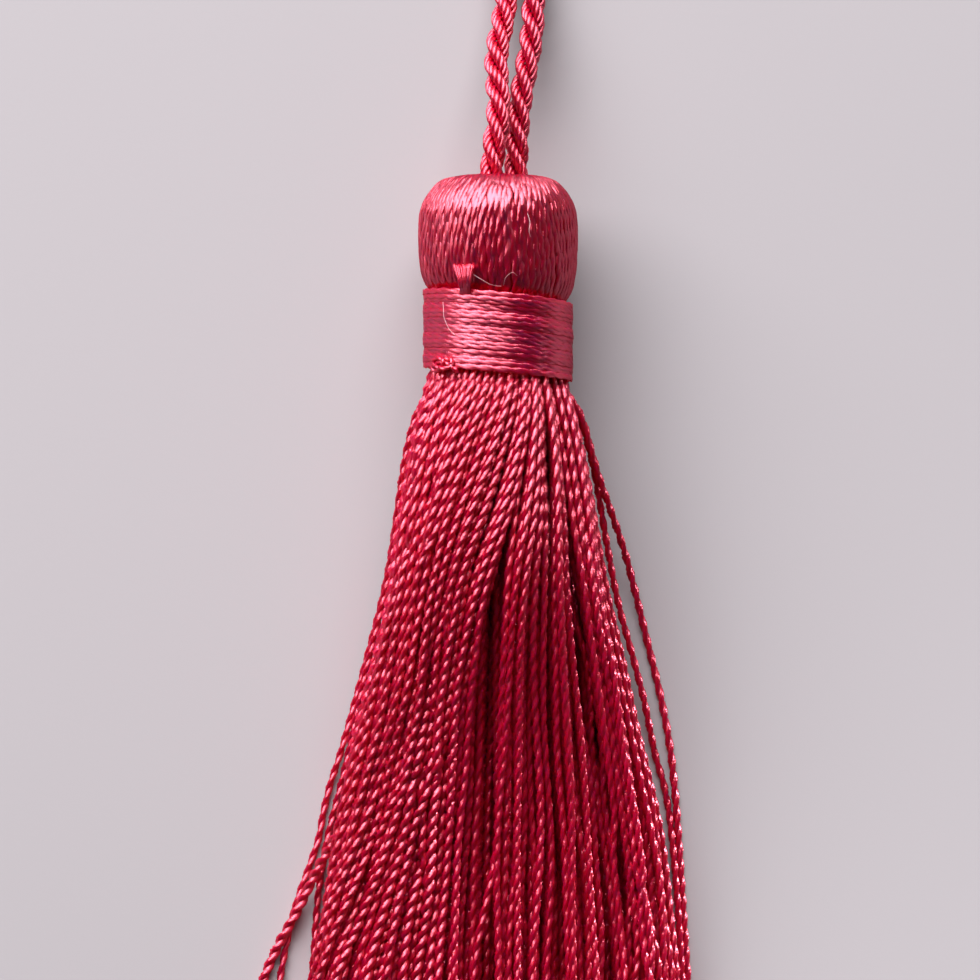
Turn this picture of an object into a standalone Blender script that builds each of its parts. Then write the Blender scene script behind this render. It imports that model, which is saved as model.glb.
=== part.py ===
"""Silk tassel lying on a table: a bundle of two-ply threads folded over a cord, bound at the neck.

Frame: +Z up, the table at Z = 0, +Y from the skirt to the hanging cord. The origin is the middle of the
flat spot that the head rests on. Sizes are in millimetres and MM turns them into Blender's metres.
"""

import math
import random

import bmesh
import bpy
from mathutils import Matrix, Vector

MM = 0.001

# Head and neck, along Y from the origin.
HEAD_RADIUS = 5.55
REST_SINK = 0.20  # how far the head is squashed where it rests
AXIS_HEIGHT = HEAD_RADIUS - REST_SINK
CROWN_Y = 5.25
BINDING_TOP_Y = -3.2
BINDING_BOTTOM_Y = -8.9
NECK_RADIUS = 4.35
CROWN_COLUMNS = ("down", "radius")
CROWN_SECTIONS = (
    (0.35, 0.0), (0.10, 1.5), (0.0, 2.6), (0.16, 3.6), (0.75, 4.5), (1.55, 5.1), (2.60, 5.45),
    (3.60, HEAD_RADIUS), (6.20, HEAD_RADIUS),
)  # fmt: skip
HEAD_RIBS = 36
POINTS_PER_RIB = 2
RIB_HEIGHT = 0.24
RIB_LEAN_DEG = 14.0  # how far a rib turns round the head between crown and binding
RIBS_START_ABOVE = 1.0  # the underside is pressed smooth up to here, and ribbed above

# Binding wound round the neck.
GAP = 0.3  # between pieces that touch
BINDING_RADIUS = 5.25
BINDING_TURNS = 11
TURN_DEPTH = 0.16
BINDING_STEPS = 44
BINDING_SLOPE = -0.08  # the windings run down towards +X
# The winding's cut end stands up on the head, and its start is knotted under the lower edge. Angles are from
# the top, towards +X.
TAIL_ANGLE_DEG = -26.0
TAIL_WIDTH = 1.24
TAIL_THICKNESS = 0.30
TAIL_COLUMNS = ("y", "radius", "size")
TAIL_SECTIONS = ((-3.75, 4.98, 0.62), (-3.00, 5.15, 0.74), (-2.35, 5.98, 0.92), (-1.45, 6.12, 1.12))
KNOT_ANGLE_DEG = -50.0
KNOT_HALF_SIZE = (0.95, 0.42, 0.42)

# Skirt.
SKIRT_LENGTH = 65.9
LOCK_WIDTH = 1.02
LOCK_HEIGHT = 0.72
LOCK_SHARE = 0.88  # how much of the way to its neighbours a lock fills
LOCK_DRIFT = 0.24  # how far a lock wanders sideways towards the tips, as a share of the way to its neighbour
LOCK_SINK = 0.22  # and how far it sinks into the skirt
DRIFT_OVER = 30.0
BUNCHING = 0.016
TIP_SPREAD = 1.8  # how unevenly the ends are cut
SEED = 11

# The skirt's outline at distances below the binding: half its width, its top and its underside above the
# table, and how far its underside is flattened, from 0, round, to 1, level. The first is inside the neck.
# The flat spot under the head and the ends of the stray locks bear on the table, and the skirt lies level
# between them.
LIFT = 0.06  # of what lies level between the bearing spots
SKIRT_COLUMNS = ("below", "half_width", "top", "under", "level")
SKIRT_SECTIONS = (
    (-1.8, 3.95, 9.30, 1.40, 0.0),
    (0.4, 4.30, 9.65, 1.05, 0.0),
    (1.6, 5.15, 10.30, 0.40, 0.1),
    (3.2, 5.85, 10.65, 0.10, 0.3),
    (6.0, 6.55, 10.70, LIFT, 0.6),
    (12.0, 7.50, 9.90, LIFT, 1.0),
    (20.0, 9.30, 8.30, LIFT, 1.0),
    (30.0, 12.10, 6.90, LIFT, 1.0),
    (36.0, 12.95, 6.35, LIFT, 1.0),
    (66.0, 14.20, 5.20, LIFT, 1.0),
)
# Rings of locks, from the outside in: how many, how far inside the outline at the neck and at the tips,
# and the lock's number of sides.
RING_COLUMNS = ("locks", "inset_at_neck", "inset_at_tips", "sides")
RINGS = (
    (48, 0.00, 0.00, 4),
    (34, 1.05, 0.98, 3),
    (18, 2.05, 1.90, 3),
)
LOCK_STATIONS = (-1.8, 0.4, 1.6, 3.2, 6.0, 12.0, 20.0, 28.0, 35.0, 46.0, 66.0)

# Single locks that stand off the skirt: how far below the binding, across, and above the table. Each lies
# level and bears on the table at its end.
STRAY_WIDTH = 0.55
BEARING = LOCK_HEIGHT / 2 * STRAY_WIDTH / LOCK_WIDTH
LEVEL = BEARING + LIFT
STRAY_LOCKS = {
    "right": (
        (-1.8, 3.0, 4.6), (0.5, 4.2, 4.8), (1.6, 5.55, 4.8), (3.2, 6.35, 4.6), (6.5, 7.15, 3.9),
        (10.2, 8.35, 2.4), (13.0, 9.25, 1.2), (18.6, 10.7, LEVEL), (24.2, 12.0, LEVEL),
        (29.8, 12.75, LEVEL), (42.4, 14.05, LEVEL), (62.0, 14.9, BEARING),
    ),
    "left_outer": (
        (-1.8, -3.0, 3.6), (0.5, -4.1, 3.7), (1.6, -5.3, 3.5), (3.2, -6.15, 3.2), (6.5, -7.0, 2.2),
        (14.0, -8.6, LEVEL), (22.0, -10.6, LEVEL), (29.8, -12.75, LEVEL), (36.8, -14.3, LEVEL),
        (42.4, -16.4, LEVEL), (50.0, -19.0, LEVEL), (58.0, -21.0, BEARING),
    ),
    "left_inner": (
        (-1.8, -3.0, 6.2), (0.5, -4.1, 6.4), (1.6, -5.35, 6.2), (3.2, -6.25, 5.8), (6.5, -7.15, 5.3),
        (14.0, -8.7, 3.9), (22.0, -10.7, 2.3), (29.8, -12.85, 1.3), (36.8, -14.25, 1.2), (42.4, -15.3, 0.9),
        (50.0, -16.6, LEVEL), (61.0, -17.8, BEARING),
    ),
}  # fmt: skip

# Hanging cord: one piece of three-ply cord, from the crown, round the loop and back into the crown.
CORD_DIAMETER = 1.75
CORD_LAY = 5.9  # along the cord, for one full turn of a ply
CORD_PLIES = 3
CORD_GROOVE = 0.21
CORD_STEP = 0.72
CORD_ROUTE = (
    (-0.40, 5.47, 6.15), (-0.30, 6.9, 6.15), (-0.05, 8.6, 5.95), (0.04, 10.4, 5.45), (-0.07, 12.1, 4.75),
    (-0.10, 13.9, 3.95), (0.20, 15.75, 3.15), (0.50, 17.5, 2.40), (0.55, 20.5, 1.35), (0.10, 24.5, 0.92),
    (-0.95, 30.0, 0.90), (-2.20, 36.5, 0.90), (-3.05, 42.5, 0.90), (-2.70, 47.5, 0.90), (-0.70, 51.2, 0.90),
    (2.00, 52.1, 0.90), (4.60, 50.8, 0.90), (6.10, 46.9, 0.90), (6.15, 41.5, 0.90), (5.30, 35.5, 0.90),
    (4.20, 29.5, 0.90), (3.25, 24.5, 0.92), (2.70, 20.5, 1.25), (2.52, 17.5, 2.00), (2.42, 15.75, 2.55),
    (2.16, 13.9, 3.05), (1.82, 12.1, 3.50), (1.55, 10.4, 3.95), (1.38, 8.6, 4.35), (1.30, 6.9, 4.60),
    (1.30, 5.47, 4.65),
)  # fmt: skip

SMOOTH_UP_TO_DEG = 50.0
THREAD_COLOUR = (0.40, 0.012, 0.055, 1.0)
CORD_COLOUR = (0.36, 0.010, 0.045, 1.0)


def clear_scene():
    for obj in list(bpy.data.objects):
        bpy.data.objects.remove(obj)


def thread_material(name, colour):
    """Glossy dyed filament thread."""
    material = bpy.data.materials.new(name)
    material.use_nodes = True
    shader = material.node_tree.nodes["Principled BSDF"]
    shader.inputs["Base Color"].default_value = colour
    shader.inputs["Roughness"].default_value = 0.35
    shader.inputs["Metallic"].default_value = 0.0
    return material


def new_collection(name):
    collection = bpy.data.collections.new(name)
    bpy.context.scene.collection.children.link(collection)
    return collection


def add_object(name, data, collection):
    obj = bpy.data.objects.new(name, data)
    collection.objects.link(obj)
    return obj


def as_helper(obj):
    """Keeps an object for a Boolean modifier, out of the render and drawn as wire."""
    obj.hide_render = True
    obj.display_type = "WIRE"


def as_mesh(obj, name, collection):
    """A mesh object made from a curve or a modified object, with its caps welded. The old one is removed."""
    bpy.context.view_layer.update()
    evaluated = obj.evaluated_get(bpy.context.evaluated_depsgraph_get())
    mesh = bpy.data.meshes.new_from_object(evaluated)
    made = add_object(name, mesh, collection)
    made.matrix_world = obj.matrix_world
    bpy.data.objects.remove(obj)
    work = bmesh.new()
    work.from_mesh(mesh)
    bmesh.ops.remove_doubles(work, verts=work.verts, dist=0.001 * MM)
    bmesh.ops.recalc_face_normals(work, faces=work.faces)
    work.to_mesh(mesh)
    work.free()
    mesh.shade_smooth()
    mesh.set_sharp_from_angle(angle=math.radians(SMOOTH_UP_TO_DEG))
    return made


def join_with(obj, other, name):
    """Adds a Boolean union of obj with other, which becomes a helper. Locks of other may cross each other."""
    union = obj.modifiers.new(name, "BOOLEAN")
    union.operation = "UNION"
    union.solver = "EXACT"
    union.use_self = True
    union.object = other
    as_helper(other)


def turned(name, profile, steps, collection):
    """A mesh turned round the tassel's axis from (radius, y) points, listed from the crown down the outside."""
    mesh = bpy.data.meshes.new(name)
    work = bmesh.new()
    points = [work.verts.new((radius * MM, 0.0, y * MM)) for radius, y in profile]
    closed = profile[0][0] > 0
    pairs = list(zip(points, points[1:]))
    if closed:
        pairs.append((points[-1], points[0]))
    for first, second in pairs:
        work.edges.new((first, second))
    work.to_mesh(mesh)
    work.free()
    obj = add_object(name + "_profile", mesh, collection)
    obj.rotation_euler = (math.radians(-90), 0.0, 0.0)
    obj.location = (0.0, 0.0, AXIS_HEIGHT * MM)
    screw = obj.modifiers.new("Turn", "SCREW")
    screw.axis = "Z"
    screw.steps = steps
    screw.render_steps = steps
    screw.use_merge_vertices = True
    screw.merge_threshold = 0.00001
    made = as_mesh(obj, name, collection)
    made.data.transform(made.matrix_world)
    made.matrix_world = Matrix.Identity(4)
    return made


def slope_windings(mesh, top, bottom):
    """Leans what lies below y = bottom by BINDING_SLOPE, what lies above y = top not at all."""
    for vertex in mesh.vertices:
        share = (top * MM - vertex.co.y) / ((top - bottom) * MM)
        vertex.co.y += BINDING_SLOPE * min(1.0, max(0.0, share)) * vertex.co.x


def smooth_share(value):
    value = min(1.0, max(0.0, value))
    return value * value * (3 - 2 * value)


def head_and_neck(collection):
    """The folded bundle's head, with the threads as ribs that lean round it, and the bound neck."""
    lower = BINDING_TOP_Y + GAP
    profile = [(radius, CROWN_Y - down) for down, radius in CROWN_SECTIONS]
    profile += [(5.40, lower + 1.00), (5.05, lower + 0.30), (NECK_RADIUS, lower)]
    end = BINDING_BOTTOM_Y - 0.75
    profile += [(NECK_RADIUS, end + 0.40), (3.6, end), (0.0, end)]
    head = turned("thread_bundle", profile, HEAD_RIBS * POINTS_PER_RIB, collection)
    for vertex in head.data.vertices:
        across = Vector((vertex.co.x, vertex.co.z - AXIS_HEIGHT * MM))
        radius = across.length / MM
        if radius < 0.5:
            continue
        y = vertex.co.y / MM
        angle = math.atan2(across.y, across.x)
        rib = 0.5 * math.cos(angle * HEAD_RIBS) - 0.5
        fade = smooth_share((radius - 1.0) / 3.0) * smooth_share((y - lower) / 0.8)
        fade *= smooth_share(vertex.co.z / MM / RIBS_START_ABOVE)
        turn = math.radians(RIB_LEAN_DEG) * (CROWN_Y - y) / (CROWN_Y - BINDING_TOP_Y)
        grown = across * (1 + rib * RIB_HEIGHT * fade / radius)
        turned_by = Matrix.Rotation(turn * smooth_share((y - lower) / 0.8), 2)
        grown = turned_by @ grown
        vertex.co.x = grown.x
        vertex.co.z = grown.y + AXIS_HEIGHT * MM
    slope_windings(head.data, 0.0, BINDING_TOP_Y)
    return head


def table_cutter(collection):
    """A block whose top is the table, which flattens the spot that the head rests on."""
    bpy.ops.mesh.primitive_cube_add(size=1.0, location=(0.0, 0.0, -2.0 * MM))
    block = bpy.context.object
    block.name = "table_cutter"
    block.scale = (20 * MM, 15 * MM, 4 * MM)
    for linked in list(block.users_collection):
        linked.objects.unlink(block)
    collection.objects.link(block)
    as_helper(block)
    return block


def flatten_rest(head, cutter):
    cut = head.modifiers.new("Rest", "BOOLEAN")
    cut.operation = "DIFFERENCE"
    cut.solver = "EXACT"
    cut.object = cutter


def section_at(below):
    """The skirt's outline there, read from SKIRT_SECTIONS as a dictionary."""
    rows = [dict(zip(SKIRT_COLUMNS, row)) for row in SKIRT_SECTIONS]
    for upper, lower in zip(rows, rows[1:]):
        if below <= lower["below"]:
            break
    share = (below - upper["below"]) / (lower["below"] - upper["below"])
    share = min(1.0, max(0.0, share))
    return {key: upper[key] + share * (lower[key] - upper[key]) for key in SKIRT_COLUMNS}


def outline_point(section, inset, angle):
    """A point of the inset outline at an angle from its top. The section's level flattens the underside."""
    half_width = max(0.1, section["half_width"] - inset)
    top = section["top"] - inset
    under = section["under"] + inset
    middle, half_height = (top + under) / 2, max(0.3, (top - under) / 2)
    across, up = math.sin(angle), math.cos(angle)
    if up < 0:
        power = 1 - 0.62 * section["level"]
        up = -(abs(up) ** power)
        across = math.copysign(abs(across) ** (1 - 0.30 * section["level"]), across)
    return Vector((half_width * across, middle + half_height * up))


def around(section, inset, shares):
    """Points at these shares of the way round the outline, clockwise from its top, seen from the tips."""
    samples = 160
    points = [outline_point(section, inset, 2 * math.pi * i / samples) for i in range(samples + 1)]
    lengths = [0.0]
    for first, second in zip(points, points[1:]):
        lengths.append(lengths[-1] + (second - first).length)
    found = []
    for share in shares:
        target = (share % 1.0) * lengths[-1]
        i = max(k for k in range(samples) if lengths[k] <= target)
        part = (target - lengths[i]) / max(lengths[i + 1] - lengths[i], 1e-9)
        found.append(points[i].lerp(points[i + 1], part))
    return found


def bunched(share, below):
    """Draws neighbouring locks together and apart along the skirt, without letting them meet."""
    reach = smooth_share(below / 20.0)
    fine = math.sin(2 * math.pi * (5 * share + below / 55.0)) / 5
    coarse = math.sin(2 * math.pi * (3 * share - below / 70.0)) / 3
    return share + BUNCHING * reach * (fine + coarse)


def lock_routes():
    """Each lock of each ring as its centre line [(point, size)] and its number of sides.

    Its size at a station is what its neighbours leave room for, as a share of LOCK_WIDTH.
    """
    chance = random.Random(SEED)
    routes = []
    for row, ring in enumerate(dict(zip(RING_COLUMNS, values)) for values in RINGS):
        count = ring["locks"]
        starts = [(i + 0.5 * (row % 2)) / count for i in range(count)]
        lengths = [SKIRT_LENGTH - chance.uniform(0, TIP_SPREAD) for _ in starts]
        drifts = [chance.uniform(-LOCK_DRIFT, LOCK_DRIFT) / count for _ in starts]
        sinks = [chance.uniform(0, LOCK_SINK) for _ in starts]
        lines = [[] for _ in starts]
        for below in LOCK_STATIONS:
            section = section_at(below)
            to_tips = smooth_share(below / SKIRT_LENGTH)
            inset = ring["inset_at_neck"] + to_tips * (ring["inset_at_tips"] - ring["inset_at_neck"])
            loose = smooth_share(below / DRIFT_OVER)
            shares = [bunched(share, below) + loose * drift for share, drift in zip(starts, drifts)]
            spots = around(section, inset + LOCK_HEIGHT / 2, shares)
            for i, (line, length) in enumerate(zip(lines, lengths)):
                room = min((spots[i] - spots[i - 1]).length, (spots[i] - spots[(i + 1) % count]).length)
                size = min(1.0, LOCK_SHARE * room / LOCK_WIDTH)
                sunk = 0.0 if spots[i].y < section["under"] + inset + LOCK_HEIGHT else loose * sinks[i]
                spot = around(section, inset + LOCK_HEIGHT / 2 * size + sunk, [shares[i]])[0]
                line.append((Vector((spot.x, BINDING_BOTTOM_Y - min(below, length), spot.y)), size))
        routes += [(line, ring["sides"]) for line in lines]
    return routes


def stray_routes():
    """The locks that stand off the skirt."""
    size = STRAY_WIDTH / LOCK_WIDTH
    return [
        ([(Vector((across, BINDING_BOTTOM_Y - below, up)), size) for below, across, up in points], 4)
        for points in STRAY_LOCKS.values()
    ]


def flat_profile(name, corners, collection):
    """A closed outline for a curve's bevel, from (across, up) points."""
    curve = bpy.data.curves.new(name, "CURVE")
    curve.dimensions = "2D"
    spline = curve.splines.new("POLY")
    spline.points.add(len(corners) - 1)
    for point, (across, up) in zip(spline.points, corners):
        point.co = (across * MM, up * MM, 0.0, 1.0)
    spline.use_cyclic_u = True
    obj = add_object(name, curve, collection)
    as_helper(obj)
    return obj


def tubes(name, routes, profile, twist_mode, collection):
    """A curve object with a spline for each route of (point, size, tilt), swept with the profile and capped."""
    curve = bpy.data.curves.new(name, "CURVE")
    curve.dimensions = "3D"
    curve.twist_mode = twist_mode
    curve.bevel_mode = "OBJECT"
    curve.bevel_object = profile
    curve.use_fill_caps = True
    for route in routes:
        spline = curve.splines.new("POLY")
        spline.points.add(len(route) - 1)
        for point, (place, size, tilt) in zip(spline.points, route):
            point.co = (*(place * MM), 1.0)
            point.radius = size
            point.tilt = tilt
    return add_object(name, curve, collection)


def box_corners(width, height):
    return [(x * width / 2, y * height / 2) for x, y in ((-1, -1), (1, -1), (1, 1), (-1, 1))]


def skirt(helpers):
    """All the locks as one mesh object, each still apart from the others."""
    box = box_corners(LOCK_WIDTH, LOCK_HEIGHT)
    corners = {4: box, 3: [*box[:2], (0.0, LOCK_HEIGHT / 2)]}
    work = bmesh.new()
    for sides in (4, 3):
        profile = flat_profile(f"lock_section_{sides}", corners[sides], helpers)
        lines = [
            [(place, size, 0.0) for place, size in line]
            for line, lock_sides in lock_routes() + stray_routes()
            if lock_sides == sides
        ]
        curves = tubes(f"locks_{sides}", lines, profile, "Z_UP", helpers)
        locks = as_mesh(curves, f"locks_{sides}_mesh", helpers)
        work.from_mesh(locks.data)
        bpy.data.objects.remove(locks)
    mesh = bpy.data.meshes.new("skirt_locks")
    work.to_mesh(mesh)
    work.free()
    return add_object("skirt_locks", mesh, helpers)


def winding_profile():
    """The binding's section: a plain inner wall and one rounded ridge for each turn of thread."""
    inner = NECK_RADIUS + GAP
    height = BINDING_TOP_Y - BINDING_BOTTOM_Y
    turn = height / BINDING_TURNS
    points = [(inner, BINDING_TOP_Y)]
    for i in range(BINDING_TURNS):
        y = BINDING_TOP_Y - i * turn
        points.append((BINDING_RADIUS - TURN_DEPTH, y))
        points.append((BINDING_RADIUS, y - turn / 2))
    points.append((BINDING_RADIUS - TURN_DEPTH, BINDING_BOTTOM_Y))
    points.append((inner, BINDING_BOTTOM_Y))
    return points


def on_binding(angle_deg, radius, y):
    """A point at an angle from the top, towards +X, round the tassel's axis."""
    angle = math.radians(angle_deg)
    x = radius * math.sin(angle)
    return Vector((x, y + BINDING_SLOPE * x, AXIS_HEIGHT + radius * math.cos(angle)))


def binding(collection, helpers):
    """The wound binding, with the cut end of its thread standing up at the head and its tucked knot below."""
    ring = turned("binding", winding_profile(), BINDING_STEPS, collection)
    slope_windings(ring.data, 1000.0, 999.0)
    level = math.radians(TAIL_ANGLE_DEG)
    tail_line = [(on_binding(TAIL_ANGLE_DEG, radius, y), size, level) for y, radius, size in TAIL_SECTIONS]
    tail_section = flat_profile("tail_section", box_corners(TAIL_WIDTH, TAIL_THICKNESS), helpers)
    tail = as_mesh(tubes("tail", [tail_line], tail_section, "Z_UP", helpers), "binding_tail", helpers)
    join_with(ring, tail, "Tail")
    bpy.ops.mesh.primitive_uv_sphere_add(segments=10, ring_count=6, radius=1.0)
    knot = bpy.context.object
    knot.name = "binding_knot"
    knot.data.transform(Matrix.Diagonal((*(size * MM for size in KNOT_HALF_SIZE), 1.0)))
    knot.data.transform(Matrix.Rotation(math.radians(KNOT_ANGLE_DEG), 4, "Y"))
    knot.location = on_binding(KNOT_ANGLE_DEG, BINDING_RADIUS - 0.05, BINDING_BOTTOM_Y + 0.25) * MM
    for linked in list(knot.users_collection):
        linked.objects.unlink(knot)
    helpers.objects.link(knot)
    join_with(ring, knot, "Knot")
    return ring


def through(points, step):
    """Points about step apart on a smooth curve through these points."""
    ends = [2 * points[0] - points[1], *points, 2 * points[-1] - points[-2]]
    dense = [points[0]]
    for before, start, end, after in zip(ends, ends[1:], ends[2:], ends[3:]):
        parts = 24
        for k in range(1, parts + 1):
            t = k / parts
            dense.append(
                0.5
                * (
                    2 * start
                    + (end - before) * t
                    + (2 * before - 5 * start + 4 * end - after) * t * t
                    + (3 * start - before - 3 * end + after) * t**3
                )
            )
    lengths = [0.0]
    for first, second in zip(dense, dense[1:]):
        lengths.append(lengths[-1] + (second - first).length)
    count = round(lengths[-1] / step)
    found, i = [], 0
    for k in range(count + 1):
        target = lengths[-1] * k / count
        while i < len(dense) - 2 and lengths[i + 1] < target:
            i += 1
        part = (target - lengths[i]) / max(lengths[i + 1] - lengths[i], 1e-9)
        found.append(dense[i].lerp(dense[i + 1], min(1.0, part)))
    return found, lengths[-1]


def hanging_cord(collection, helpers):
    """The three-ply cord, its plies raised as lobes that turn along it, S-laid."""
    corners = []
    points_per_ply = 4
    count = CORD_PLIES * points_per_ply
    for i in range(count):
        angle = 2 * math.pi * i / count
        radius = CORD_DIAMETER / 2 - CORD_GROOVE * (0.5 - 0.5 * math.cos(CORD_PLIES * angle))
        corners.append((radius * math.cos(angle), radius * math.sin(angle)))
    section = flat_profile("cord_section", corners, helpers)
    line, length = through([Vector(point) for point in CORD_ROUTE], CORD_STEP)
    step = length / (len(line) - 1)
    route = [(place, 1.0, -2 * math.pi * i * step / CORD_LAY) for i, place in enumerate(line)]
    return as_mesh(tubes("cord", [route], section, "MINIMUM", helpers), "hanging_cord", collection)


def main():
    clear_scene()
    part = new_collection("silk_tassel")
    helpers = new_collection("helpers")
    bundle = head_and_neck(part)
    flatten_rest(bundle, table_cutter(helpers))
    join_with(bundle, skirt(helpers), "Skirt")
    wound = binding(part, helpers)
    cord = hanging_cord(part, helpers)
    bundle.data.materials.append(thread_material("dyed_floss", THREAD_COLOUR))
    wound.data.materials.append(thread_material("binding_floss", THREAD_COLOUR))
    cord.data.materials.append(thread_material("twisted_cord", CORD_COLOUR))


main()
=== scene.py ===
"""Silk tassel: an add-on that lays, binds and lights a tassel of two-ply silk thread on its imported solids."""

import math

import bpy
import numpy as np
from bpy.props import FloatProperty, FloatVectorProperty, IntProperty, PointerProperty
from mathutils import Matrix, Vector


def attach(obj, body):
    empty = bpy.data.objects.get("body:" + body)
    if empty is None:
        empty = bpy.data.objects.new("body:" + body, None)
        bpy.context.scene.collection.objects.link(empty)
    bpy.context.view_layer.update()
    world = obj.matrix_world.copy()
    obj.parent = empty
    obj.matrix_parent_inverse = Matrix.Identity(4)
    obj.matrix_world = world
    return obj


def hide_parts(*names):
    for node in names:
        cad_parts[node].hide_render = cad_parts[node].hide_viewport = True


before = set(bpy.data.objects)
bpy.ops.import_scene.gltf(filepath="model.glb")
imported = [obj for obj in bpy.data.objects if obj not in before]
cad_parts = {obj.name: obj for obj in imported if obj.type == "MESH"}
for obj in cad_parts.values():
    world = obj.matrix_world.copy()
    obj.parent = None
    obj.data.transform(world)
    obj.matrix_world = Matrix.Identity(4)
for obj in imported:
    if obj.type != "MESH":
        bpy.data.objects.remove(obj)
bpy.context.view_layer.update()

bl_info = {
    "name": "Silk tassel",
    "version": (1, 0, 0),
    "blender": (4, 5, 0),
    "location": "3D View > Sidebar > Tassel",
    "description": "Lays, binds and lights a tassel of two-ply silk thread",
    "category": "Add Mesh",
}

MM = 0.001
TAU = 2 * math.pi
GOLDEN_SHARE = 0.38196601  # Of a turn, so that points on a disc lie evenly.
TRIANGLES_A_PIECE = 190000

# Positions are in millimetres: +Z up from the table, +Y from the skirt to the cord, as in the solids.
CROWN_Y = 5.25
AXIS_HEIGHT = 5.35
BINDING_TOP_Y = -3.2
BINDING_BOTTOM_Y = -8.9
BINDING_RADIUS = 5.25
BINDING_SLOPE = -0.08
BINDING_START = 0.36  # Of a turn from the top towards -X.
# How its turns wander along the neck and stand off it, as waves along the turns.
BINDING_WANDER = ((0.035, 3.1, 1.0), (0.03, 7.7, 0.0))
BINDING_BULGE = ((0.03, 5.3, 0.0), (0.02, 11.1, 0.0))

# The head's outline, as distances below the crown and radii. The first rows are in the crown's dimple, and the
# last in the binding.
HEAD_SECTIONS = (
    (2.6, 0.9), (1.4, 1.1), (0.7, 1.4), (0.3, 1.9), (0.17, 2.5), (0.21, 3.1), (0.31, 3.72), (0.52, 4.18),
    (0.82, 4.5), (1.33, 4.92), (1.9, 5.26), (2.45, 5.45), (3, 5.56), (4.5, 5.6), (6.2, 5.52), (7.3, 5.36),
    (8, 5.1), (8.5, 4.8), (9.2, 4.62), (10.4, 4.6),
)  # fmt: skip
HEAD_DIMPLE_ROWS = 4

# The head's threads crowd together within this radius and free themselves over this width, lean round the head
# over this length, and lean more towards +X than towards -X by this power of e.
HEAD_CROWDED, HEAD_FREEING = 2.2, 2.4
HEAD_LENGTH = 8.4
HEAD_LEAN_CONTRAST = 1.6
# Drawing them tight turns their filaments the other way, and less evenly than in the skirt.
HEAD_DRAW, HEAD_SPREAD = 1.4, 2.4
# How much thinner they are where they crowd, how far every other one goes under its neighbours there, how far they
# sway round the head, and the middle of the head below the crown, which their flat sides face.
HEAD_THINNING, HEAD_SINKING, HEAD_SWAY, HEAD_MIDDLE = 0.36, 0.05, 0.014, 3.2
# Rings in one turn of a pressed thread's plies.
PRESSED_RINGS = 12

# The skirt's outline at distances below the binding: half its width, its top and its underside above the table,
# and how level its underside is, where 0 is round. A level one is flatter and wider by these powers.
UNDERSIDE_FLAT, UNDERSIDE_WIDE = 0.62, 0.30
SKIRT_SECTIONS = (
    (-2.4, 4.35, 9.6, 1, 0), (-0.6, 4.7, 10.25, 0.65, 0), (0.3, 5.05, 10.8, 0.5, 0), (1.6, 5.45, 11.1, 0.25, 0.1),
    (3, 5.85, 11.35, 0.05, 0.3), (5.8, 6.55, 11.65, 0, 0.6), (8.6, 7.05, 11.85, 0, 0.8), (11, 7.4, 11.9, 0, 1),
    (14, 7.8, 11.55, 0, 1), (17, 8.45, 10.75, 0, 1), (20, 9.3, 9.75, 0, 1), (25.4, 10.6, 8.1, 0, 1),
    (31, 11.9, 7.05, 0, 1), (36, 12.7, 6.4, 0, 1), (42, 13.4, 6, 0, 1), (66, 14.2, 5.2, 0, 1),
)  # fmt: skip

# How the upper threads are drawn round the skirt. The first row is distances below the binding, and each other
# row a thread's angles there, in degrees from the skirt's top towards +X.
FLOW = (
    (0, 3, 8.6, 14, 20, 28, 36, 42, 50, 66),
    (-90,) * 10,
    (-75, -75, -75, -75, -76, -77, -80, -84, -85, -86),
    (-45, -47, -54, -58, -56, -60, -70, -78, -80, -81),
    (-16, -22, -38, -47, -46, -46, -62, -73, -76, -77),
    (-2, -10, -28, -39, -39, -36, -50, -64, -68, -70),
    (9, 0, -19, -33, -34, -30, -38, -50, -54, -56),
    (15, 8, -11, -27, -29, -26, -29, -36, -39, -41),
    (21, 15, 1, -19, -22, -21, -22, -25, -27, -29),
    (34, 29, 18, 5, 0, -2, -3, -4, -4, -4),
    (47, 42, 38, 33, 28, 25, 23, 23, 24, 26),
    (56, 55, 57, 58, 53, 53, 52, 52, 53, 54),
    (78, 77, 77, 77, 77, 77, 77, 77, 77, 78),
    (90,) * 10,
)
# The shares of the way out where the flow starts and is full, and the angles from the top where it ends and over
# which it fades.
FLOW_DEPTH = (0.45, 0.65)
FLOW_SIDE, FLOW_FADE = math.radians(100), 0.3

# Furrows between the locks of the skirt: the half width, the depth, and points below the binding and across.
FURROWS = (
    (0.55, 0.5, (
        (11, 4.9), (15, 5.4), (21.4, 6), (27.3, 7.1), (32.6, 8.3), (38.2, 9.2), (44, 10.1), (66, 11.5),
    )),
    (0.35, 0.8, ((29.5, -5), (33, -5.15), (41.5, -5.4), (52, -6.3), (66, -7))),
    (0.4, 1, ((24, -6.6), (27.6, -7.8), (31.8, -8.9), (38, -10.2), (50, -11.6))),
    (0.4, 0.7, ((10, -4.6), (16, -5.2), (22, -5.9))),
    (0.35, 0.7, ((2.6, 3.5), (6.4, 3.4), (9.5, 3.9))),
)  # fmt: skip
FURROW_FADE = 3.0

# How threads and locks sway down the skirt, as waves: size, which of the thread's own numbers scales it, turns in
# the skirt's length, which number shifts it, and by how much.
THREAD_SWAY = ((1.0, 0, 0.7, 1, 1.0), (0.4, 2, 1.9, 3, 1.0), (0.35, 3, 3.7, 0, 4.0))
THREAD_RISE = ((1.0, 2, 2.9, 1, 4.0), (0.6, 0, 5.3, 3, 4.0))
LOCK_SWAY = ((1.0, 0, 0.8, 1, 1.0), (0.5, 2, 1.7, 3, 1.0))
LOOSE_BELOW = 18.0  # How far below the binding the threads hang quite freely.
ASTRAY_SWAY = 2.6  # How much more a thread sways that crosses others.

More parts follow.
